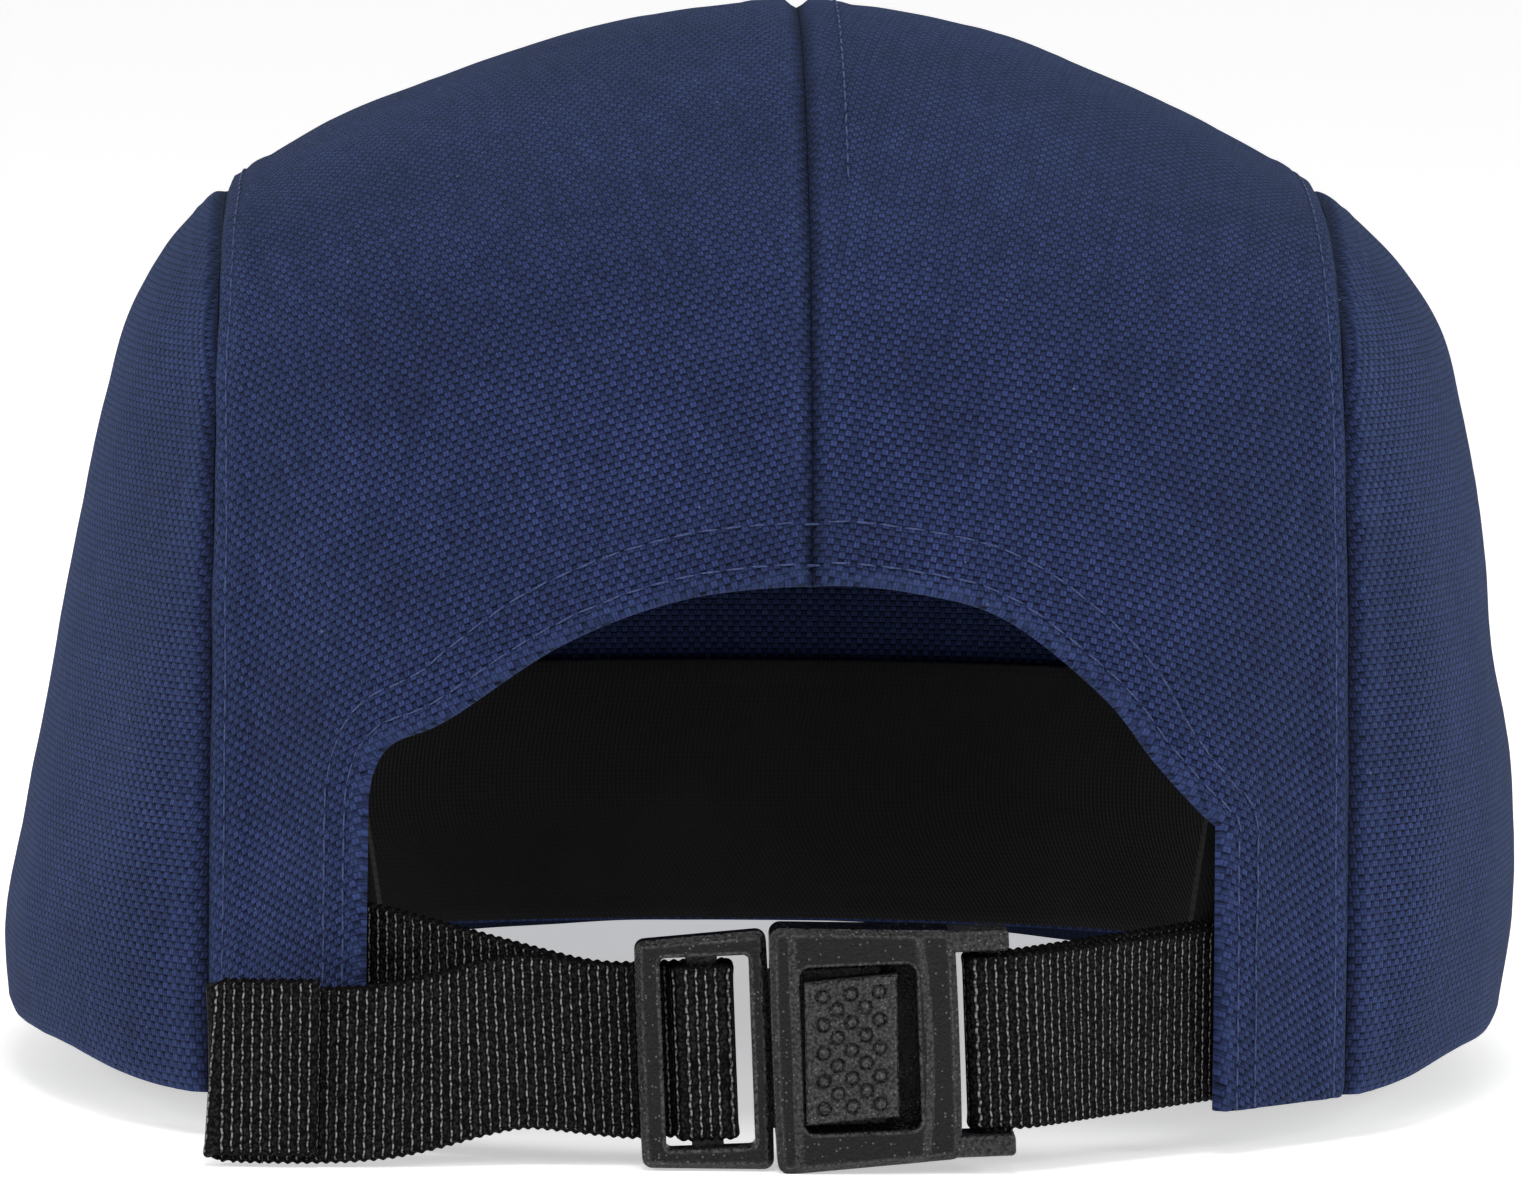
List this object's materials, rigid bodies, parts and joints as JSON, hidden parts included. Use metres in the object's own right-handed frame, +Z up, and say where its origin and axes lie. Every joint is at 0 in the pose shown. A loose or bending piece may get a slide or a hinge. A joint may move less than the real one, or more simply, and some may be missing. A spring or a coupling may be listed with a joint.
{
  "type": "canvas jockey cap",
  "caption": "Soft canvas cap with a short curved peak, a rear arch opening and a webbing strap with a push-button buckle.",
  "frame": {"origin": "middle of the bounding box, on the floor that the cap stands on", "axes": "+Z up, the peak points to -Y, the strap and buckle lie at +Y, +X is the wearer's left"},
  "size_m": [0.1712, 0.2636, 0.1215],
  "materials": {
    "canvas": "navy blue coarse basket-weave canvas, matt",
    "twill": "black cotton twill, matt",
    "webbing": "black ribbed webbing with lighter grey cross threads",
    "moulded_plastic": "black moulded plastic with a fine speckled grain"
  },
  "bodies": {
    "root": {"front_panel": "canvas", "side_panel_left": "canvas", "side_panel_right": "canvas", "back_panel_left": "canvas", "back_panel_right": "canvas", "peak": "canvas", "sweatband": "twill", "long_strap": "webbing", "short_strap": "webbing", "buckle_tongue": "moulded_plastic", "buckle_socket": "moulded_plastic"}
  },
  "joints": []
}
